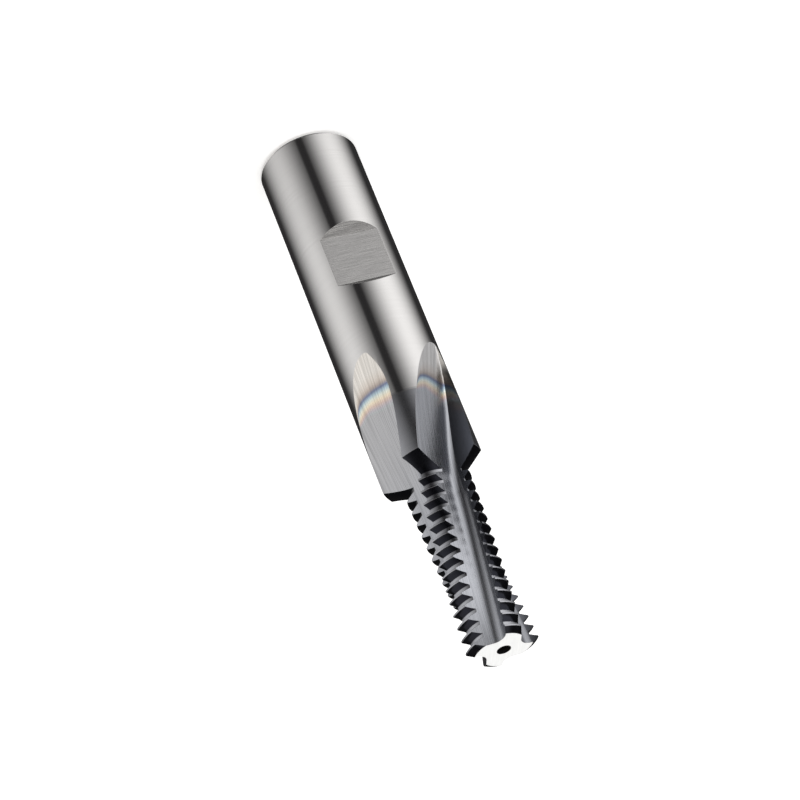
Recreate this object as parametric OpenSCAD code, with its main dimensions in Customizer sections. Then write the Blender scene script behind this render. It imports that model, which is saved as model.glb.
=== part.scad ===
// Thread mill with a through coolant hole, ground from one bar of solid carbide.
// Z runs along the axis from the shank end (z = 0) to the tip, and the side
// clamping flat faces -Y. The tool stands on its shank end, tip up.

/* [Shank] */
// Diameter of the shank
shank_d = 14; // [13:0.1:16]
// Overall length, from the shank end to the tip face
overall_len = 82.4; // [80:0.1:110]
// Bevel round the rim of the shank end
end_bevel = 0.6; // [0.2:0.1:1.5]

/* [Side clamping flat] */
// Length of the flat's level floor
flat_len = 8; // [4:0.5:10]
// Distance from the shank end to the middle of the flat
flat_mid = 21.8; // [12:0.1:28]
// Depth of the floor below the shank's surface
flat_depth = 1.3; // [0.4:0.1:2.5]
// Slope of the two ramps at the ends of the flat
flat_ramp = 45; // [30:5:75]

/* [Thread teeth] */
// Pitch of the thread that the tool cuts
pitch = 1.75; // [1.25:0.05:2]
// Number of tooth rings along the tool
tooth_rings = 15; // [6:1:16]
// Diameter across the tooth crests at the cutting edges
crest_d = 9.7; // [9:0.1:11]
// Width of a tooth's flat crest
crest_flat = 0.22; // [0.1:0.02:0.4]
// Width of the flat root between two teeth
root_flat = 0.44; // [0.3:0.02:0.6]
// Angle between the two flanks of a tooth
thread_angle = 60; // [55:1:70]
// Clearance angle behind the cutting edges, at the crest
relief_angle = 9; // [4:0.5:12]
// Angle between the shoulder cone and the axis
shoulder_angle = 60; // [40:1:75]

/* [Flutes] */
// Number of flutes, each with one cutting edge
flute_count = 4; // [3:1:4]
// Angle of the flutes to the axis, at the crest
helix_angle = 9.75; // [0:0.25:14]
// Turn of the cutting edges at the tip face, from the X axis
edge_clocking = 2.6; // [0:0.1:45]
// Thickness of a tooth's land, from its cutting face to its heel
land_thickness = 2.25; // [1.9:0.05:2.6]
// Radius in the bottom corner of a flute
flute_corner_r = 1.5; // [0.8:0.1:1.8]
// Radius of the hollow cutting face
face_hollow_r = 8; // [7:0.5:20]
// Length of the flutes, from the tip face to the end of their run-out
flute_len = 45.1; // [42:0.1:56]
// Length over which a flute rises out of the bar at its end
run_out_len = 22.7; // [14:0.1:28]

/* [Coolant hole] */
// Diameter of the hole through the middle of the tool
coolant_d = 1.9; // [1:0.1:3]

/* [Hidden] */
$fn = 96;

shank_r = shank_d / 2;
crest_r = crest_d / 2;
// Cuts and grinding wheels reach this far past the bar
overrun = 1;

// Tooth profile: a trapezium with flat crest and root
flank_len = (pitch - crest_flat - root_flat) / 2;
tooth_height = flank_len / tan(thread_angle / 2);
root_r = crest_r - tooth_height;
thread_len = tooth_rings * pitch;
thread_start = overall_len - thread_len;

// The lands turn with the helix and fall away behind their cutting edges
land_span = 360 / flute_count;
turn_per_mm = tan(helix_angle) / crest_r * 180 / PI;
relief_per_degree = crest_r * tan(relief_angle) * PI / 180;
function edge_angle(z) = edge_clocking + turn_per_mm * (z - overall_len);

// Where the spiral of a land starts and ends, ahead of its cutting edge.
// The step from one land to the next lies in the flute, which cuts it away.
spiral_lead = 12;
spiral_step = 13;
spiral_points = 12;
spiral_sweep = land_span - spiral_step;

// Outside the bar the shoulder cone ends in a sleeve that touches nothing
sleeve_r = shank_r + relief_per_degree * land_span + overrun;
sleeve_top = thread_start - (sleeve_r - root_r) / tan(shoulder_angle);

// Ground outline at the cutting edges, as pairs of height and radius
tooth_outline = [
    for (i = [0 : tooth_rings - 1])
        let (z = thread_start + i * pitch)
            each [
                [z, root_r],
                [z + root_flat, root_r],
                [z + root_flat + flank_len, crest_r],
                [z + root_flat + flank_len + crest_flat, crest_r]
            ]
];
ground_outline = concat(
    [[-overrun, sleeve_r], [sleeve_top, sleeve_r]],
    tooth_outline,
    [[overall_len, root_r], [overall_len + overrun, root_r]]
);

// Flute section, with X along the cutting edge's radius and Y ahead of it:
// a straight heel wall, a round corner and a hollow cutting face
hollow_x = land_thickness + flute_corner_r;
hollow_depth = face_hollow_r - sqrt(face_hollow_r ^ 2 - (crest_r - hollow_x) ^ 2);
wheel_reach = shank_r + 2 * overrun;
heel_steps = 3;
corner_steps = 6;
face_steps = 5;
function hollow_face(x) =
    face_hollow_r - hollow_depth - sqrt(face_hollow_r ^ 2 - (x - hollow_x) ^ 2);

// Run-out: the heel wall moves out of the bar and tilts. The corner tightens, and
// a crease is left between it and the face, which moves ahead at the very end.
run_out_start = overall_len - flute_len + run_out_len;
wall_tilt = 34;
crease_angle = 45;
face_shift = 0.52 * shank_r;
run_out_overrun = 0.06;
run_out_rings = 22;
full_depth_len = overall_len + overrun - run_out_start;
full_depth_rings = 12;
function run_out(z) = max((run_out_start - z) / run_out_len, 0);
function wall_distance(out) = land_thickness + (shank_r - land_thickness) * out ^ 1.4;
function corner_radius(out) = flute_corner_r * (1 - out / 3);
function face_ahead(out) = face_shift * out ^ 8;

// Middle of the round corner. It touches the wall and ends on the face, at a place
// that is found in a few rounds from a first guess x.
function corner_middle(out, x, rounds) =
    let (
        r = corner_radius(out),
        tilt = wall_tilt * out,
        crease = crease_angle * out,
        middle_y = hollow_face(x) + face_ahead(out) + r * cos(crease),
        middle_x = (wall_distance(out) + r - middle_y * sin(tilt)) / cos(tilt)
    )
        rounds == 0
            ? [middle_x, middle_y]
            : corner_middle(out, middle_x - r * sin(crease), rounds - 1);

function flute_section(z) =
    let (
        out = run_out(z),
        r = corner_radius(out),
        tilt = wall_tilt * out,
        crease = crease_angle * out,
        middle = corner_middle(out, min(wall_distance(out) + r, shank_r), 4),
        wall = middle - r * [cos(tilt), sin(tilt)],
        crease_x = middle[0] - r * sin(crease)
    )
        concat(
            [[wheel_reach, wheel_reach]],
            [
                for (i = [0 : heel_steps - 1])
                    let (up = (wheel_reach - wall[1]) * (1 - i / heel_steps))
                        [wall[0] - up * tan(tilt), wall[1] + up]
            ],
            [
                for (i = [0 : corner_steps])
                    let (a = tilt + (90 - crease - tilt) * i / corner_steps)
                        middle - r * [cos(a), sin(a)]
            ],
            [
                for (i = [1 : face_steps])
                    let (x = crease_x + (wheel_reach - crease_x) * i / face_steps)
                        [x, hollow_face(x) + face_ahead(out)]
            ]
        );

// Heights of the wheel along a flute
wheel_path = concat(
    [
        for (i = [0 : run_out_rings - 1])
            run_out_start - run_out_len * (1 + run_out_overrun) * (1 - i / run_out_rings)
    ],
    [
        for (i = [0 : full_depth_rings])
            run_out_start + full_depth_len * i / full_depth_rings
    ]
);

// Ring of the ground form at height z, with radius r at the cutting edges
function ground_ring(z, r) = [
    for (land = [0 : flute_count - 1], i = [0 : spiral_points - 1])
        let (
            ahead = spiral_lead - spiral_sweep * (1 - i / (spiral_points - 1)),
            a = edge_angle(max(z, sleeve_top)) + land * land_span + ahead,
            reach = r + relief_per_degree * ahead
        )
            [reach * cos(a), reach * sin(a), z]
];

// Flute section at height z, turned with the helix
function flute_ring(z) = [
    for (p = flute_section(z))
        let (a = edge_angle(z))
            [p[0] * cos(a) - p[1] * sin(a), p[0] * sin(a) + p[1] * cos(a), z]
];

// Middle of a ring, where the triangles of an end cap meet
function mean_point(ring) = [for (p = ring) 1 / len(ring)] * ring;

// Solid through a stack of rings that have the same number of points
module loft(rings) {
    n = len(rings[0]);
    last = (len(rings) - 1) * n;
    foot = len(rings) * n;
    head = foot + 1;
    sides = [
        for (k = [0 : len(rings) - 2], i = [0 : n - 1])
            let (a = k * n + i, b = k * n + (i + 1) % n)
                each [[a, a + n, b + n], [a, b + n, b]]
    ];
    caps = [
        for (i = [0 : n - 1])
            let (j = (i + 1) % n)
                each [[foot, i, j], [head, last + j, last + i]]
    ];
    cap_points = [mean_point(rings[0]), mean_point(rings[len(rings) - 1])];
    polyhedron(
        points = concat([for (ring = rings) each ring], cap_points),
        faces = concat(sides, caps)
    );
}

// Round bar, cut to length and bevelled at the shank end
module blank() {
    rotate_extrude()
        polygon([
            [0, 0],
            [shank_r - end_bevel, 0],
            [shank_r, end_bevel],
            [shank_r, overall_len],
            [0, overall_len]
        ]);
}

// Shoulder cone and tooth rings, relieved behind every cutting edge
module ground_form() {
    loft([for (p = ground_outline) ground_ring(p[0], p[1])]);
}

// What the grinding wheel takes out for one flute
module flute_cut() {
    loft([for (z = wheel_path) flute_ring(z)]);
}

// What is ground off for the clamping flat
module flat_cut() {
    floor_y = shank_r - flat_depth;
    ramp_run = (flat_depth + overrun) / tan(flat_ramp);
    translate([0, 0, flat_mid])
        rotate([90, 0, 90])
            linear_extrude(shank_d, center = true)
                polygon([
                    [-floor_y, flat_len / 2],
                    [-floor_y, -flat_len / 2],
                    [-shank_r - overrun, -flat_len / 2 - ramp_run],
                    [-shank_r - overrun, flat_len / 2 + ramp_run]
                ]);
}

// Straight hole along the axis
module coolant_hole() {
    translate([0, 0, -overrun])
        cylinder(d = coolant_d, h = overall_len + 2 * overrun);
}

module thread_mill() {
    color("darkgray")
        difference() {
            intersection() {
                blank();
                ground_form();
            }
            for (i = [0 : flute_count - 1])
                rotate([0, 0, i * land_span])
                    flute_cut();
            flat_cut();
            coolant_hole();
        }
}

thread_mill();
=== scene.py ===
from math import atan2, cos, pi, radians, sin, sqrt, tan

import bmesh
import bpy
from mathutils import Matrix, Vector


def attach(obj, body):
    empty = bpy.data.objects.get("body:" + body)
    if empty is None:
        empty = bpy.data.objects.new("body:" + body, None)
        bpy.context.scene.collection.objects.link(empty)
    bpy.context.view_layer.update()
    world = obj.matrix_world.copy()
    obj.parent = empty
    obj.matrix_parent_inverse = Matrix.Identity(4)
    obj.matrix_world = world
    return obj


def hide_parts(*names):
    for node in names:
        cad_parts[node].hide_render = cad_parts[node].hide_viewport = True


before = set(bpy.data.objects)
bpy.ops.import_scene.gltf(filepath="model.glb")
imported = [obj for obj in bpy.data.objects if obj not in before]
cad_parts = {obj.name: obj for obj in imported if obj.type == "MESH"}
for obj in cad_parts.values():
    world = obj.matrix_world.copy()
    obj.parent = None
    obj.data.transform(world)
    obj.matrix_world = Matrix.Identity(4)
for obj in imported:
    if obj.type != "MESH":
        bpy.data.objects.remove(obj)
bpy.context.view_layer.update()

# Thread mill on a pale floor. The tool is ground here as the real one is: a round bar, a form
# wheel that leaves the tooth rings, a flute wheel that backs out of the bar, a flat wheel and a
# drill. Every wheel leaves its own finish, and the colours of some finishes also hold painted
# shade and painted light. Modelling is in millimetres, and the finished piece is scaled to
# metres.

MILLIMETRE = 0.001

# Shank
SHANK_R = 7.0
LENGTH = 82.4
END_BEVEL = 0.6
BAR_SIDES = 192
BAR_CUTS = 54

# Side clamping flat
FLAT_LEN = 8.0
FLAT_MID = 21.8
FLAT_DEPTH = 1.3
FLAT_RAMP = radians(45)

# Thread teeth
PITCH = 1.75
TOOTH_RINGS = 15
CREST_R = 4.85
CREST_FLAT = 0.22
ROOT_FLAT = 0.44
FLANK_ANGLE = radians(30)
FLANK_LEN = (PITCH - CREST_FLAT - ROOT_FLAT) / 2
ROOT_R = CREST_R - FLANK_LEN / tan(FLANK_ANGLE)
THREAD_START = LENGTH - TOOTH_RINGS * PITCH
SHOULDER_SLOPE = tan(radians(60))

# Lands, which turn with the helix and fall away behind their cutting edges
LANDS = 4
LAND_SPAN = 2 * pi / LANDS
EDGE_AT_TIP = radians(2.6)
HELIX = radians(9.75)
TURN_PER_MM = tan(HELIX) / CREST_R
RELIEF_ANGLE = radians(9)
RELIEF = CREST_R * tan(RELIEF_ANGLE)
RELIEF_LEAD = radians(12)
RELIEF_STEP = radians(13)

# Flutes
LAND_THICKNESS = 2.25
CORNER_R = 1.5
HOLLOW_R = 8.0
HOLLOW_X = LAND_THICKNESS + CORNER_R
HOLLOW_DEPTH = HOLLOW_R - sqrt(HOLLOW_R ** 2 - (CREST_R - HOLLOW_X) ** 2)
FLUTE_LEN = 45.1

# Run-out, where a flute rises out of the bar: how far each measure goes, and how it gets there
RUN_OUT_LEN = 22.7
RUN_OUT_START = LENGTH - FLUTE_LEN + RUN_OUT_LEN
RUN_OUT_CLEAR = 0.1 * RUN_OUT_LEN
WALL_POWER = 1.4
FLOOR_TILT = radians(36.5)
CREASE = radians(34)
CREASE_POWER = 0.25
FACE_SHIFT = 3.65
SHIFT_POWER = 4.8
CORNER_LOSS = 1 / 3

# Coolant hole
COOLANT_R = 0.95
HOLE_SIDES = 64

# Wheels reach this far past the bar
OVERRUN = 1.0
WHEEL_REACH = SHANK_R + 3 * OVERRUN

# The sides of the flute's cutter that lie this near to the edge's radius grind the face
FACE_SIDE = 3.0

# A face looks along an axis if its normal goes this far along it
FACING = 0.5

# Edges at which the surface turns by more than SHARP are broken. Bits of edge that are shorter
# than SHORT_EDGE are closed up before that, and points that have met are joined after it.
EDGE_BREAK = 0.018
SHORT_EDGE = 0.045
SAME_POINT = 0.0005
SHARP = radians(24)

# The finishes, in the order of the tool's material slots
FINISHES = ["ground_shank", "ground_end", "ground_flat", "coated_teeth", "coated_flank_painted_shade",
            "ground_flute", "ground_face_painted_shade", "ground_tip", "drilled_hole_painted_shade"]

# Colours of the bare carbide and of the coating. The cutting faces and upper flanks look darker
# than the rest, and their darker colours are painted shade; the flutes' lighter, bluer coat is
# painted light.
BARE = (0.62, 0.61, 0.605, 1)
# Painted shade on the cutting face's bare carbide
FACE_BARE_PAINTED_SHADE = (0.11, 0.105, 0.10, 1)
COAT = (0.35, 0.355, 0.38, 1)
# Painted light: a lighter, bluer copy of the coat for the flutes
FLUTE_COAT_PAINTED_LIGHT = (0.378, 0.388, 0.42, 1)
# Painted shade on the cutting face's coat
FACE_COAT_PAINTED_SHADE = (0.17, 0.177, 0.2, 1)
# Painted shade on the coat of the upper flanks and the shoulder cone
FLANK_COAT_PAINTED_SHADE = (0.065, 0.067, 0.08, 1)

# Heights between which painted shade darkens the face's bare colour
SHADE_LOW = 39.5
SHADE_HIGH = 41.5

# Edge of the coating: its height and width on the outside, and what is added in a flute, at
# once below the surface (spread), by and by (creep) and for every millimetre past deep
COAT_BEGIN = 45.1
COAT_WIDTH = 0.5
SPREAD_RATE = 8.0
SPREAD_DOWN = 4.0
SPREAD_WIDTH = 5.0
CREEP_RATE = 0.8
CREEP_DOWN = 2.0
DEEP = 1.3
DEEP_WIDTH = 0.9

# The edge lies a little aslant and wavers
COAT_SLANT = 0.08
WAVER = 0.3
WAVER_SCALE = 0.35

# Share of the edge's colours that shows on the outside
TINT_OUTSIDE = 0.35

# Parts of the edge's width between which the coating grows to its full colour
COAT_GROWS = (0.3, 0.9)

# Colours over the width of the coating's edge, and how strongly each one shows
EDGE_TINTS = [
    (0.00, (0.55, 0.52, 0.48, 0.0)),
    (0.15, (0.52, 0.47, 0.43, 0.3)),
    (0.28, (0.45, 0.39, 0.35, 0.5)),
    (0.41, (0.31, 0.26, 0.24, 0.8)),
    (0.50, (0.13, 0.165, 0.28, 0.95)),
    (0.58, (0.36, 0.48, 0.57, 0.9)),
    (0.65, (0.62, 0.67, 0.63, 0.9)),
    (0.73, (0.74, 0.65, 0.51, 0.85)),
    (0.81, (0.60, 0.46, 0.41, 0.75)),
    (0.89, (0.44, 0.41, 0.47, 0.6)),
    (0.95, (0.38, 0.44, 0.46, 0.35)),
    (1.00, (0.36, 0.36, 0.38, 0.0)),
]

# Grinding lines: the range and middle of their noise, its wider range on uncoated finishes,
# and how deep the lines are cut, in metres
LINES_LOW, LINES_MID, LINES_HIGH = 0.25, 0.5, 0.75
UNCOATED_LOW, UNCOATED_HIGH = 0.2, 0.8
LINE_DEPTH = 0.00002

# Studio: panels fade over these heights, and on a cut side over this angle, all in degrees
PANEL_TOP = (40, 58)
LEFT_JOIN = (-22, -8)
CUT_SIDE = 2.0

# Power with which a panel fades towards its sides
PANEL_FADE = 2.0

# The left panel's share of its light below the join, and the light from below and overhead
LOW_LEFT_SHARE = 0.94
BELOW_LIGHT = 0.6
OVERHEAD_LIGHT = 0.45

# Tints of the panels, light of the dark gaps between them, and the floor
COOL_TINT = (1.0, 0.995, 0.985)
WARM_TINT = (1.0, 0.964, 0.90)
ASIDE_TINT = (0.98, 0.985, 1.0)
PLAIN_TINT = (1, 1, 1)
GAP_LIGHT = (0.033, 0.032, 0.033)
FLOOR_COLOUR = (0.9, 0.9, 0.9, 1)
FLOOR_GLOW = 0.3
WHITE = (1, 1, 1, 1)


# Small helpers for modelling

def deselect_all():
    if bpy.context.mode != "OBJECT":
        bpy.ops.object.mode_set(mode="OBJECT")
    bpy.ops.object.select_all(action="DESELECT")


def take_up(piece):
    """Makes a piece the only one selected, and the active one."""
    deselect_all()
    piece.select_set(True)
    bpy.context.view_layer.objects.active = piece


def start_piece(name, finish):
    """Names the primitive just added and gives it the tool's slots, all faces in one finish."""
    piece = bpy.context.object
    piece.name = name
    for slot in FINISHES:
        piece.data.materials.append(bpy.data.materials[slot])
    for face in piece.data.polygons:
        face.material_index = FINISHES.index(finish)
    return piece


def edit(select):
    """Opens the active piece in edit mode, with one kind of element selectable."""
    bpy.ops.object.mode_set(mode="EDIT")
    bpy.ops.mesh.select_mode(type=select)


def pick(kind, test):
    """Selects only the vertices, edges or faces of the open mesh that pass the test."""
    mesh = bmesh.from_edit_mesh(bpy.context.object.data)
    bpy.ops.mesh.select_all(action="DESELECT")
    for item in getattr(mesh, kind):
        item.select = test(item)
    mesh.select_flush_mode()
    bmesh.update_edit_mesh(bpy.context.object.data)


def turn(angle):
    """Turns what is selected about the tool's axis. In the background the sign is reversed."""
    bpy.ops.transform.rotate(value=-angle, orient_axis="Z", center_override=(0, 0, 0))


def face_outwards():
    bpy.ops.mesh.select_all(action="SELECT")
    bpy.ops.mesh.normals_make_consistent(inside=False)


def edge_angle(z):
    """Where the first cutting edge lies round the axis at height z."""
    return EDGE_AT_TIP + TURN_PER_MM * (z - LENGTH)


def to_micron(value):
    """A length rounded to a thousandth of a millimetre, to look points up by."""
    return round(value, 3)


# The bar and the wheels

def round_bar():
    """The bar, cut to length and bevelled at the shank end."""
    deselect_all()
    bpy.ops.mesh.primitive_cylinder_add(
        vertices=BAR_SIDES, radius=SHANK_R, depth=LENGTH, location=(0, 0, LENGTH / 2))
    bar = start_piece("thread_mill_body", "ground_shank")
    bpy.ops.object.transform_apply(location=True)
    edit("EDGE")
    pick("edges", lambda e: abs(e.verts[0].co.z - e.verts[1].co.z) > LENGTH / 2)
    bpy.ops.mesh.subdivide(number_cuts=BAR_CUTS)
    pick("edges", lambda e: all(v.co.z < END_BEVEL for v in e.verts))
    bpy.ops.mesh.bevel(offset=END_BEVEL, segments=1, affect="EDGES")
    bpy.ops.object.mode_set(mode="OBJECT")
    for face in bar.data.polygons:
        if face.normal.z < -FACING:
            face.material_index = FINISHES.index("ground_end")
        elif face.normal.z > FACING:
            face.material_index = FINISHES.index("ground_tip")
    return bar


def relieved_outline(points_per_land=36):
    """Outline across the lands: each falls away in a spiral behind its cutting edge."""
    deselect_all()
    bpy.ops.mesh.primitive_circle_add(
        vertices=LANDS * points_per_land, radius=CREST_R, fill_type="NGON")
    outline = start_piece("form_wheel", "coated_teeth")
    sweep = LAND_SPAN - RELIEF_STEP
    around = sorted(outline.data.vertices, key=lambda v: atan2(v.co.y, v.co.x) % (2 * pi))
    for i, vertex in enumerate(around):
        land, k = divmod(i, points_per_land)
        ahead = RELIEF_LEAD - sweep * (1 - k / (points_per_land - 1))
        angle = land * LAND_SPAN + ahead
        reach = CREST_R + RELIEF * ahead
        vertex.co = (reach * cos(angle), reach * sin(angle), 0)
    return outline


def tooth_stations(cone_steps=12):
    """Heights and radii of the ground form: a loose sleeve, the shoulder cone, the teeth."""
    sleeve_r = SHANK_R + RELIEF * LAND_SPAN + 2 * OVERRUN
    sleeve_top = THREAD_START - (sleeve_r - ROOT_R) / SHOULDER_SLOPE
    stations = [(-OVERRUN, sleeve_r)]
    for i in range(cone_steps):
        part = i / cone_steps
        stations.append((sleeve_top + (THREAD_START - sleeve_top) * part,
                         sleeve_r + (ROOT_R - sleeve_r) * part))
    for i in range(TOOTH_RINGS):
        root = THREAD_START + i * PITCH
        crest = root + ROOT_FLAT + FLANK_LEN
        stations += [(root, ROOT_R), (root + ROOT_FLAT, ROOT_R),
                     (crest, CREST_R), (crest + CREST_FLAT, CREST_R)]
    return stations + [(LENGTH, ROOT_R), (LENGTH + OVERRUN, ROOT_R)]


def form_wheel():
    """The ground form, drawn up from the outline: each station is pushed in or out and turned.

    Its upward faces, which are the shoulder cone and the upper flanks, have their own finish,
    whose dark coat colour is painted shade.
    """
    form = relieved_outline()
    edit("FACE")
    bpy.ops.mesh.select_all(action="SELECT")
    stations = tooth_stations()
    turn_start = stations[1][0]
    last_z, last_r, last_angle = 0.0, CREST_R, 0.0
    for number, (z, r) in enumerate(stations):
        rise = (0, 0, z - last_z)
        if number:
            bpy.ops.mesh.extrude_region_move(TRANSFORM_OT_translate={"value": rise})
        else:
            bpy.ops.transform.translate(value=rise)
        bpy.ops.transform.push_pull(value=last_r - r, center_override=(0, 0, z))
        angle = edge_angle(max(z, turn_start))
        turn(angle - last_angle)
        last_z, last_r, last_angle = z, r, angle
    face_outwards()
    bpy.ops.object.mode_set(mode="OBJECT")
    for face in form.data.polygons:
        # Upward faces get the flank finish, whose dark coat is painted shade.
        if face.normal.z > FACING:
            face.material_index = FINISHES.index("coated_flank_painted_shade")
    return form


def hollow_face(x):
    """How far the hollow cutting face lies ahead of the cutting edge's radius."""
    return HOLLOW_R - HOLLOW_DEPTH - sqrt(HOLLOW_R ** 2 - (x - HOLLOW_X) ** 2)


def flute_section(z, heel_steps=6, corner_steps=12, face_steps=10, rounds=4):
    """Section of a flute at height z, X along the cutting edge's radius.

    It has a straight heel wall, a round corner and a hollow cutting face. In the run-out the
    wall moves out and tilts, the corner tightens and ends in a crease, and the face moves
    ahead. The place of the crease is found in a few rounds.
    """
    out = max((RUN_OUT_START - z) / RUN_OUT_LEN, 0.0)
    wall = LAND_THICKNESS + (SHANK_R - LAND_THICKNESS) * out ** WALL_POWER
    tilt = FLOOR_TILT * out
    crease = CREASE * out ** CREASE_POWER
    shift = FACE_SHIFT * out ** SHIFT_POWER
    r = CORNER_R * (1 - out * CORNER_LOSS)
    crease_x = wall + r
    for _ in range(rounds):
        middle_y = hollow_face(crease_x) + shift + r * cos(crease)
        middle_x = (wall + r - middle_y * sin(tilt)) / cos(tilt)
        crease_x = middle_x - r * sin(crease)
    wall_x = middle_x - r * cos(tilt)
    wall_y = middle_y - r * sin(tilt)
    points = [(WHEEL_REACH, WHEEL_REACH)]
    for i in range(heel_steps):
        y = WHEEL_REACH + (wall_y - WHEEL_REACH) * i / heel_steps
        points.append((wall_x - (y - wall_y) * tan(tilt), y))
    for i in range(corner_steps + 1):
        a = tilt + (pi / 2 - crease - tilt) * i / corner_steps
        points.append((middle_x - r * cos(a), middle_y - r * sin(a)))
    for i in range(1, face_steps + 1):
        x = crease_x + (WHEEL_REACH - crease_x) * i / face_steps
        points.append((x, hollow_face(x) + shift))
    return points


def flute_stations(exit_steps=60, depth_steps=24):
    """Heights at which the flute's section is drawn, closer together in the run-out."""
    clear = LENGTH - FLUTE_LEN - RUN_OUT_CLEAR
    return ([clear + (RUN_OUT_START - clear) * i / exit_steps for i in range(exit_steps)]
            + [RUN_OUT_START + (LENGTH + OVERRUN - RUN_OUT_START) * i / depth_steps
               for i in range(depth_steps + 1)])


def flute_wheel():
    """What the wheel takes out for one flute: a section drawn up, then led along its path."""
    start = flute_section(LENGTH)
    deselect_all()
    bpy.ops.mesh.primitive_circle_add(vertices=len(start), fill_type="NGON")
    flute = start_piece("flute_wheel", "ground_flute")
    for vertex, (x, y) in zip(flute.data.vertices, start):
        vertex.co = (x, y, 0)
    stations = flute_stations()
    edit("FACE")
    bpy.ops.mesh.select_all(action="SELECT")
    bpy.ops.transform.translate(value=(0, 0, stations[0]))
    for low, high in zip(stations, stations[1:]):
        bpy.ops.mesh.extrude_region_move(TRANSFORM_OT_translate={"value": (0, 0, high - low)})
    bpy.ops.object.mode_set(mode="OBJECT")
    for side in flute.data.polygons:
        upright = abs(side.normal.z) < FACING
        hollow = upright and side.center.x > HOLLOW_X and side.center.y < FACE_SIDE
        side.material_index = FINISHES.index("ground_face_painted_shade" if hollow else "ground_flute")
    number = {(to_micron(x), to_micron(y)): i for i, (x, y) in enumerate(start)}
    sections = {to_micron(z): flute_section(z) for z in stations}
    for vertex in flute.data.vertices:
        place, z = (to_micron(vertex.co.x), to_micron(vertex.co.y)), vertex.co.z
        x, y = sections[to_micron(z)][number[place]]
        a = edge_angle(z)
        vertex.co = (x * cos(a) - y * sin(a), x * sin(a) + y * cos(a), z)
    edit("FACE")
    face_outwards()
    bpy.ops.object.mode_set(mode="OBJECT")
    return flute


def flute_wheels():
    """One flute cut for every land, as one cutter."""
    first = flute_wheel()
    cuts = [first]
    for land in range(1, LANDS):
        take_up(first)
        bpy.ops.object.duplicate()
        cuts.append(bpy.context.object)
        edit("FACE")
        bpy.ops.mesh.select_all(action="SELECT")
        turn(land * LAND_SPAN)
        bpy.ops.object.mode_set(mode="OBJECT")
    take_up(first)
    for cut in cuts:
        cut.select_set(True)
    bpy.ops.object.join()
    return first


def flat_wheel():
    """What is ground off for the clamping flat: a block, its outer face drawn out to ramps."""
    deselect_all()
    deep = FLAT_DEPTH + OVERRUN
    bpy.ops.mesh.primitive_cube_add(
        size=1, location=(0, FLAT_DEPTH - SHANK_R - deep / 2, FLAT_MID),
        scale=(2 * SHANK_R, deep, FLAT_LEN))
    flat = start_piece("flat_wheel", "ground_flat")
    bpy.ops.object.transform_apply(location=True, scale=True)
    edit("FACE")
    pick("faces", lambda f: f.normal.y < -FACING)
    spread = 1 + 2 * deep / tan(FLAT_RAMP) / FLAT_LEN
    bpy.ops.transform.resize(value=(1, 1, spread), center_override=(0, 0, FLAT_MID))
    bpy.ops.object.mode_set(mode="OBJECT")
    return flat


def coolant_drill():
    deselect_all()
    bpy.ops.mesh.primitive_cylinder_add(
        vertices=HOLE_SIDES, radius=COOLANT_R, depth=LENGTH + 2 * OVERRUN,
        location=(0, 0, LENGTH / 2))
    drill = start_piece("coolant_drill", "drilled_hole_painted_shade")
    bpy.ops.object.transform_apply(location=True)
    return drill


def grind(body, wheel, operation):
    """Cuts the body with a wheel, which leaves its finish on the new faces, and is put away."""
    take_up(body)
    cut = body.modifiers.new(wheel.name, "BOOLEAN")
    cut.operation = operation
    cut.object = wheel
    cut.solver = "MANIFOLD"
    bpy.ops.object.modifier_apply(modifier=cut.name)
    bpy.data.objects.remove(wheel)


def finishes_meet(edge):
    """Tells if two finishes meet at an edge, other than a flute's floor and its face."""
    flute = {FINISHES.index("ground_flute"), FINISHES.index("ground_face_painted_shade")}
    met = {face.material_index for face in edge.link_faces}
    return len(met) > 1 and not met <= flute


def break_edges(body):
    """Closes up short bits of edge, breaks the sharp edges, and joins points that have met."""
    take_up(body)
    edit("VERT")
    bpy.ops.mesh.select_all(action="SELECT")
    bpy.ops.mesh.remove_doubles(threshold=SHORT_EDGE)
    bpy.ops.mesh.dissolve_degenerate(threshold=SHORT_EDGE / 2)
    bpy.ops.mesh.select_mode(type="EDGE")
    pick("edges", finishes_meet)
    bpy.ops.mesh.mark_sharp()
    bpy.ops.object.mode_set(mode="OBJECT")
    bpy.ops.object.shade_smooth_by_angle(angle=SHARP)
    edges = body.modifiers.new("broken_edges", "BEVEL")
    edges.width = EDGE_BREAK
    edges.segments = 1
    edges.limit_method = "ANGLE"
    edges.angle_limit = SHARP
    edges.use_clamp_overlap = False
    edges.harden_normals = True
    bpy.ops.object.modifier_apply(modifier=edges.name)
    edit("VERT")
    bpy.ops.mesh.select_all(action="SELECT")
    bpy.ops.mesh.remove_doubles(threshold=SAME_POINT)
    bpy.ops.object.mode_set(mode="OBJECT")


def thread_mill():
    """The tool: the bar, ground and drilled, with its edges broken."""
    body = round_bar()
    grind(body, form_wheel(), "INTERSECT")
    grind(body, flute_wheels(), "DIFFERENCE")
    grind(body, flat_wheel(), "DIFFERENCE")
    grind(body, coolant_drill(), "DIFFERENCE")
    break_edges(body)
    body.scale = (MILLIMETRE, MILLIMETRE, MILLIMETRE)
    bpy.ops.object.transform_apply(scale=True)
    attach(body, "root")
    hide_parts("thread_mill")


# Small helpers for materials

def fill_socket(tree, socket, value):
    """Links an output to a socket, or sets a plain value on it."""
    if isinstance(value, bpy.types.NodeSocket):
        tree.links.new(value, socket)
    else:
        socket.default_value = value


def add_node(tree, kind, settings=None, **sockets):
    """Adds a node with its settings. Sockets go by name, or by number as in i0."""
    node = tree.nodes.new("ShaderNode" + kind)
    for name, value in (settings or {}).items():
        setattr(node, name, value)
    for name, value in sockets.items():
        key = int(name[1:]) if name[1:].isdigit() else name.replace("_", " ")
        fill_socket(tree, node.inputs[key], value)
    return node


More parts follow.
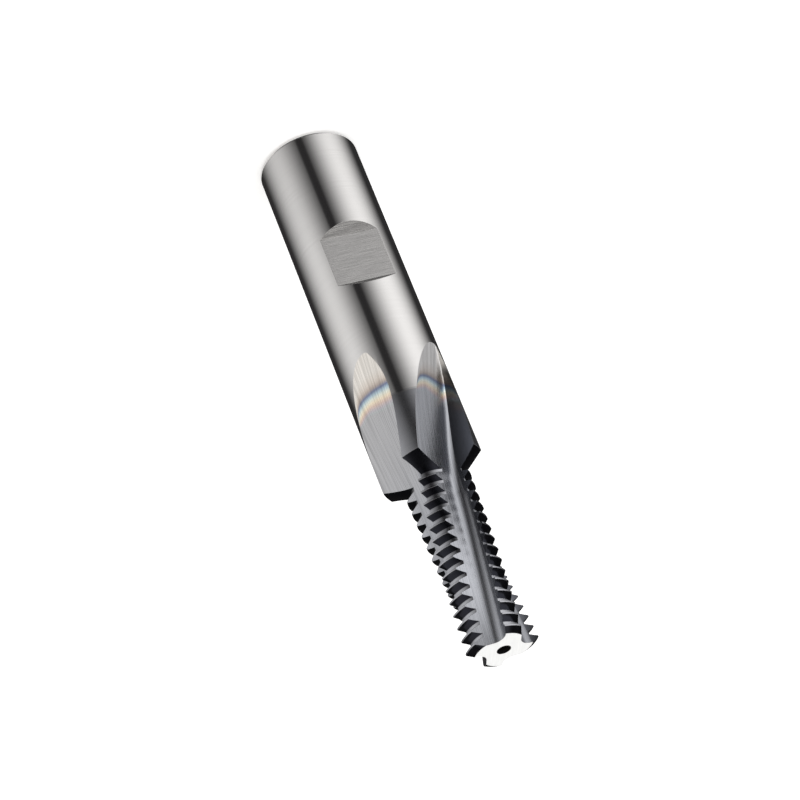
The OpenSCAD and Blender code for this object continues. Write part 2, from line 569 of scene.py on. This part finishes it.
def maths(tree, operation, a, b=0.0, c=0.0):
    return add_node(tree, "Math", {"operation": operation}, i0=a, i1=b, i2=c).outputs[0]


def product(tree, a, b):
    return maths(tree, "MULTIPLY", a, b)


def total(tree, first, *others):
    for other in others:
        first = maths(tree, "ADD", first, other)
    return first


def rest_of(tree, value):
    """1 less the value."""
    return maths(tree, "SUBTRACT", 1.0, value)


def vectors(tree, operation, a, b=(0, 0, 0)):
    """Vector maths, which gives a number for a length or a dot product."""
    node = add_node(tree, "VectorMath", {"operation": operation}, i0=a, i1=b)
    return node.outputs["Value" if operation in ("LENGTH", "DOT_PRODUCT") else "Vector"]


def scaled(tree, vector, factor):
    node = add_node(tree, "VectorMath", {"operation": "SCALE"}, i0=vector, Scale=factor)
    return node.outputs["Vector"]


def levelled(tree, vector):
    """A vector with its height taken out."""
    return vectors(tree, "MULTIPLY", vector, (1, 1, 0))


def smooth_step(tree, value, low, high):
    """0 up to the low value, 1 from the high one on, and smooth between."""
    return add_node(tree, "MapRange", {"interpolation_type": "SMOOTHSTEP"},
                    Value=value, From_Min=low, From_Max=high).outputs[0]


def mixed(tree, factor, first, second):
    """A mix of two colours, which are inputs 6 and 7 and output 2 of the node."""
    return add_node(tree, "Mix", {"data_type": "RGBA"}, i0=factor, i6=first, i7=second).outputs[2]


def ramp(tree, factor, stops):
    """A colour ramp through (place, colour) stops."""
    node = add_node(tree, "ValToRGB", Fac=factor)
    elements = node.color_ramp.elements
    while len(elements) > 1:
        elements.remove(elements[-1])
    for number, (place, colour) in enumerate(stops):
        element = elements[0] if number == 0 else elements.new(place)
        element.position = place
        element.color = colour if len(colour) == 4 else (*colour, 1)
    return node.outputs


def new_group(name, inputs, outputs):
    """An empty shader node group with named sockets, and its two end nodes."""
    group = bpy.data.node_groups.new(name, "ShaderNodeTree")
    for label, kind in inputs:
        group.interface.new_socket(label, in_out="INPUT", socket_type="NodeSocket" + kind)
    for label, kind in outputs:
        group.interface.new_socket(label, in_out="OUTPUT", socket_type="NodeSocket" + kind)
    given = group.nodes.new("NodeGroupInput").outputs
    result = group.nodes.new("NodeGroupOutput").inputs
    return group, given, result


def use_group(tree, group, **sockets):
    """Places a group, with its sockets filled, and gives its outputs."""
    node = tree.nodes.new("ShaderNodeGroup")
    node.node_tree = group
    for name, value in sockets.items():
        fill_socket(tree, node.inputs[name.replace("_", " ")], value)
    return node.outputs


# Materials

def grind_lines_group():
    """Fine lines that a grinding wheel leaves: noise drawn out along the wheel's way."""
    group, given, result = new_group(
        "grind_lines", [("Vector", "Vector"), ("Stretch", "Vector")], [("Lines", "Float")])
    drawn = vectors(group, "MULTIPLY", given["Vector"], given["Stretch"])
    fine = add_node(group, "TexNoise", Vector=drawn, Scale=1.0, Detail=3.0, Roughness=0.7)
    group.links.new(fine.outputs[0], result["Lines"])
    return group


def coating_edge_group():
    """Where the coating begins, and the colours of its thin edge.

    On the outside the edge is sharp. Down in a flute the coating creeps further under the
    holder that covers the shank, and thins out over a longer way.
    """
    group, given, result = new_group(
        "coating_edge",
        [("Vector", "Vector"), ("Bare Colour", "Color"), ("Coat Colour", "Color")],
        [("Colour", "Color"), ("Coating", "Float")])

    def grows(depth, rate):
        """0 at the surface, and nearer to 1 the deeper it is."""
        return rest_of(group, maths(group, "EXPONENT", product(group, depth, -rate)))

    place = scaled(group, given["Vector"], 1 / MILLIMETRE)
    axes = add_node(group, "SeparateXYZ", Vector=place).outputs
    radius = vectors(group, "LENGTH", levelled(group, place))
    depth = maths(group, "MAXIMUM", maths(group, "SUBTRACT", SHANK_R, radius), 0.0)
    creep = grows(depth, CREEP_RATE)
    spread = grows(depth, SPREAD_RATE)
    begin = maths(group, "MULTIPLY_ADD", spread, -SPREAD_DOWN, COAT_BEGIN)
    begin = maths(group, "MULTIPLY_ADD", creep, -CREEP_DOWN, begin)
    deep = maths(group, "MAXIMUM", maths(group, "SUBTRACT", depth, DEEP), 0.0)
    width = maths(group, "MULTIPLY_ADD", spread, SPREAD_WIDTH, COAT_WIDTH)
    width = maths(group, "MULTIPLY_ADD", deep, DEEP_WIDTH, width)
    noise = add_node(group, "TexNoise", Vector=place, Scale=WAVER_SCALE, Detail=1.0).outputs[0]
    along = maths(group, "SUBTRACT", axes["Z"], begin)
    along = maths(group, "MULTIPLY_ADD", axes["X"], COAT_SLANT, along)
    along = total(group, along, maths(group, "MULTIPLY_ADD", noise, WAVER, -WAVER / 2))
    grown = maths(group, "DIVIDE", along, width)

    coating = smooth_step(group, grown, *COAT_GROWS)
    ground = mixed(group, coating, given["Bare Colour"], given["Coat Colour"])
    tints = ramp(group, grown, EDGE_TINTS)
    shows = maths(group, "MULTIPLY_ADD", spread, 1 - TINT_OUTSIDE, TINT_OUTSIDE)
    strength = product(group, tints["Alpha"], shows)
    group.links.new(mixed(group, strength, ground, tints["Color"]), result["Colour"])
    group.links.new(coating, result["Coating"])
    return group


def new_material(name):
    """A metal, with its shader and its place on the piece."""
    material = bpy.data.materials.new(name)
    material.use_nodes = True
    tree = material.node_tree
    metal = tree.nodes["Principled BSDF"].inputs
    metal["Metallic"].default_value = 1.0
    place = tree.nodes.new("ShaderNodeTexCoord").outputs["Object"]
    return tree, metal, place


def along_flute(tree, place, across):
    """Place across a flute, by radius or by angle with the helix taken out, and height up it."""
    axes = add_node(tree, "SeparateXYZ", Vector=place).outputs
    if across == "RADIUS":
        side = vectors(tree, "LENGTH", levelled(tree, place))
    else:
        angle = maths(tree, "ARCTAN2", axes["Y"], axes["X"])
        angle = maths(tree, "MULTIPLY_ADD", axes["Z"], -TURN_PER_MM / MILLIMETRE, angle)
        side = product(tree, angle, SHANK_R * MILLIMETRE)
    return add_node(tree, "CombineXYZ", X=side, Z=axes["Z"]).outputs[0]


def bare_with_painted_shade(tree, place, dark):
    """The bare colour, with painted shade that turns it dark over a short way up."""
    height = add_node(tree, "SeparateXYZ", Vector=place).outputs["Z"]
    way = SHADE_HIGH - SHADE_LOW
    rise = maths(tree, "MULTIPLY_ADD", height, 1 / (way * MILLIMETRE), -SHADE_LOW / way)
    return ramp(tree, rise, [(0.0, BARE), (1.0, dark)])["Color"]


# The coat colour given here holds painted shade on the faces and flanks, and painted light in the
# flutes.
def ground_finish(name, lines, edge, stretch, rough, coat_rough, depth,
                  coat_and_painted_light=COAT, across=None, dark=None):
    """A ground finish whose lines run as the wheel did, coated towards the tip.

    The lines vary the colour, the gloss and the surface, each by its share of the depth.
    """
    tree, metal, place = new_material(name)
    # On the cutting face, painted shade darkens the bare colour higher up.
    bare_and_painted_shade = bare_with_painted_shade(tree, place, dark) if dark else BARE
    way = along_flute(tree, place, across) if across else place
    marks = use_group(tree, lines, Vector=way, Stretch=stretch)["Lines"]
    coat = use_group(tree, edge, Vector=place, Bare_Colour=bare_and_painted_shade, Coat_Colour=coat_and_painted_light)

    shade = add_node(tree, "MapRange", Value=marks, From_Min=LINES_LOW, From_Max=LINES_HIGH,
                     To_Min=1 - depth, To_Max=1 + depth / 2).outputs[0]
    tree.links.new(scaled(tree, coat["Colour"], shade), metal["Base Color"])

    gloss = maths(tree, "MULTIPLY_ADD", coat["Coating"], coat_rough - rough, rough)
    uneven = maths(tree, "SUBTRACT", marks, LINES_MID)
    gloss = maths(tree, "MULTIPLY_ADD", uneven, depth / 2, gloss)
    tree.links.new(gloss, metal["Roughness"])

    bump = add_node(tree, "Bump", Height=marks, Strength=min(1.0, depth * 2),
                    Distance=LINE_DEPTH)
    tree.links.new(bump.outputs[0], metal["Normal"])


def bare_finish(name, lines, stretch, dark, light, rough):
    """A finish without coating, whose lines vary between a dark and a light colour."""
    tree, metal, place = new_material(name)
    marks = use_group(tree, lines, Vector=place, Stretch=stretch)["Lines"]
    tint = ramp(tree, marks, [(UNCOATED_LOW, dark), (UNCOATED_HIGH, light)])["Color"]
    tree.links.new(tint, metal["Base Color"])
    metal["Roughness"].default_value = rough


def make_finishes():
    """All the finishes. A stretch is the number of lines to the metre along each axis."""
    lines = grind_lines_group()
    edge = coating_edge_group()
    ground_finish("ground_shank", lines, edge, stretch=(60, 60, 9000),
                  rough=0.115, coat_rough=0.24, depth=0.05)
    ground_finish("ground_end", lines, edge, stretch=(300, 9000, 300),
                  rough=0.25, coat_rough=0.28, depth=0.12)
    ground_finish("ground_flat", lines, edge, stretch=(250, 3000, 9000),
                  rough=0.25, coat_rough=0.25, depth=0.36)
    ground_finish("coated_teeth", lines, edge, stretch=(300, 300, 9000),
                  rough=0.20, coat_rough=0.18, depth=0.08)
    # The dark coat of the upper flanks and the shoulder cone is painted shade.
    ground_finish("coated_flank_painted_shade", lines, edge, stretch=(300, 300, 9000),
                  rough=0.20, coat_rough=0.18, depth=0.08, coat_and_painted_light=FLANK_COAT_PAINTED_SHADE)
    # The flutes' lighter coat is painted light.
    ground_finish("ground_flute", lines, edge, stretch=(4000, 0, 60),
                  rough=0.20, coat_rough=0.27, depth=0.36, coat_and_painted_light=FLUTE_COAT_PAINTED_LIGHT, across="ANGLE")
    # The cutting face's dark bare colour and dark coat are painted shade.
    ground_finish("ground_face_painted_shade", lines, edge, stretch=(6500, 0, 70),
                  rough=0.20, coat_rough=0.24, depth=0.20, coat_and_painted_light=FACE_COAT_PAINTED_SHADE, across="RADIUS",
                  dark=FACE_BARE_PAINTED_SHADE)
    bare_finish("ground_tip", lines, stretch=(4000, 300, 300),
                dark=(0.70, 0.70, 0.69), light=(0.80, 0.80, 0.79), rough=0.3)
    # The bore's near-black colour is painted shade of the deep hole.
    bare_finish("drilled_hole_painted_shade", lines, stretch=(300, 300, 6000),
                dark=(0.05, 0.05, 0.055), light=(0.08, 0.08, 0.085), rough=0.5)


# Studio

def soft_panel_group():
    """Light of an upright panel that fades towards its sides."""
    group, given, result = new_group(
        "soft_panel",
        [("Around", "Vector"), ("Towards", "Vector"), ("Edge", "Float"), ("Strength", "Float")],
        [("Light", "Float")])
    facing = vectors(group, "DOT_PRODUCT", given["Around"], given["Towards"])
    lit = add_node(group, "MapRange", Value=facing, From_Min=given["Edge"]).outputs[0]
    fading = maths(group, "POWER", lit, PANEL_FADE)
    group.links.new(product(group, fading, given["Strength"]), result["Light"])
    return group


def metal_light(tree):
    """What the metal sees: soft panels and dark gaps. Azimuths and heights are in degrees."""
    panel = soft_panel_group()
    towards = tree.nodes.new("ShaderNodeTexCoord").outputs["Generated"]
    height = add_node(tree, "SeparateXYZ", Vector=towards).outputs["Z"]
    around = vectors(tree, "NORMALIZE", levelled(tree, towards))

    def upright(azimuth, half_width, strength):
        """Light of one upright panel."""
        a = radians(azimuth)
        return use_group(tree, panel, Around=around, Towards=(cos(a), sin(a), 0),
                         Edge=cos(radians(half_width)), Strength=strength)["Light"]

    def past_side(azimuth):
        """1 on the side of growing azimuths, 0 on the other."""
        a = radians(azimuth) + pi / 2
        side = vectors(tree, "DOT_PRODUCT", around, (cos(a), sin(a), 0))
        soft = sin(radians(CUT_SIDE))
        return smooth_step(tree, side, -soft, soft)

    def above(low, high):
        """0 below the low height, 1 above the high one."""
        return smooth_step(tree, height, sin(radians(low)), sin(radians(high)))

    def cut(light, low, high):
        """Light that fades in over the low heights and out over the high ones."""
        band = product(tree, above(*low), rest_of(tree, above(*high)))
        return product(tree, light, band)

    right = product(tree, upright(azimuth=-142, half_width=68, strength=1.38),
                    rest_of(tree, past_side(-82)))
    left = product(tree, upright(azimuth=-7, half_width=74, strength=1.12), past_side(-66))
    cool = total(
        tree,
        cut(right, low=(-56, -33.5), high=PANEL_TOP),
        cut(upright(azimuth=-130, half_width=50, strength=0.3), low=(-30, -20), high=(0, 20)),
        cut(product(tree, left, LOW_LEFT_SHARE), low=(-48.8, -33.5), high=LEFT_JOIN))
    warm = total(
        tree,
        cut(left, low=LEFT_JOIN, high=PANEL_TOP),
        cut(upright(azimuth=-65, half_width=75, strength=0.6), low=(-21, -7), high=PANEL_TOP))
    aside = total(
        tree,
        upright(azimuth=165, half_width=45, strength=0.66),
        upright(azimuth=150, half_width=20, strength=1.25))
    plain = total(
        tree,
        cut(upright(azimuth=105, half_width=26, strength=1.6), low=(12, 22), high=(42, 55)),
        product(tree, rest_of(tree, above(low=-76, high=-62)), BELOW_LIGHT),
        cut(OVERHEAD_LIGHT, low=(58, 66), high=(74, 82)))

    light = GAP_LIGHT
    for part, tint in ((cool, COOL_TINT), (warm, WARM_TINT), (plain, PLAIN_TINT),
                       (cut(aside, low=(-26, -8), high=(0, 12)), ASIDE_TINT)):
        light = vectors(tree, "ADD", scaled(tree, tint, part), light)
    return light


def studio_world():
    """White round the camera's view, and panels for the metal."""
    world = bpy.data.worlds.new("studio")
    bpy.context.scene.world = world
    world.use_nodes = True
    tree = world.node_tree
    panels = tree.nodes["Background"]
    tree.links.new(metal_light(tree), panels.inputs["Color"])
    white = add_node(tree, "Background", Color=WHITE, Strength=1.0)
    seen = tree.nodes.new("ShaderNodeLightPath").outputs["Is Camera Ray"]
    mix = add_node(tree, "MixShader", i0=seen, i1=panels.outputs[0], i2=white.outputs[0])
    tree.links.new(mix.outputs[0], tree.nodes["World Output"].inputs["Surface"])


def pale_floor():
    """A plain white floor that keeps the tool's shadow."""
    deselect_all()
    bpy.ops.mesh.primitive_plane_add(size=8)
    floor = bpy.context.object
    floor.name = "floor"
    material = bpy.data.materials.new("pale_floor")
    material.use_nodes = True
    tree = material.node_tree
    tree.nodes.remove(tree.nodes["Principled BSDF"])
    matt = add_node(tree, "BsdfDiffuse", Color=FLOOR_COLOUR)
    seen = tree.nodes.new("ShaderNodeLightPath").outputs["Is Camera Ray"]
    glow = add_node(tree, "Emission", Color=WHITE, Strength=product(tree, seen, FLOOR_GLOW))
    both = add_node(tree, "AddShader", i0=matt.outputs[0], i1=glow.outputs[0])
    tree.links.new(both.outputs[0], tree.nodes["Material Output"].inputs["Surface"])
    floor.data.materials.append(material)
    floor.visible_glossy = False
    floor.visible_shadow = False


def overhead_lamp():
    """Light for the floor. The metal sees only the panels."""
    deselect_all()
    bpy.ops.object.light_add(type="AREA", location=(0, 0, 1.2))
    lamp = bpy.context.object
    lamp.name = "overhead_lamp"
    lamp.data.shape = "DISK"
    lamp.data.size = 1.4
    lamp.data.energy = 11
    lamp.visible_glossy = False


def photo_camera():
    """The camera that was fitted to the photo: the tip points down and to the right."""
    right = Vector((-0.947753, -0.057205, 0.313833))
    up = Vector((-0.222886, -0.585079, -0.779746))
    back = Vector((0.228222, -0.808956, 0.541761))
    deselect_all()
    bpy.ops.object.camera_add()
    camera = bpy.context.object
    camera.name = "photo_camera"
    turned = Matrix((right, up, back)).transposed().to_4x4()
    turned.translation = (0.096808, -0.341704, 0.270917)
    camera.matrix_world = turned
    camera.data.sensor_width = 36
    camera.data.lens = 143.65
    bpy.context.scene.camera = camera


make_finishes()
thread_mill()
studio_world()
pale_floor()
overhead_lamp()
photo_camera()
bpy.context.scene.view_settings.view_transform = "Standard"
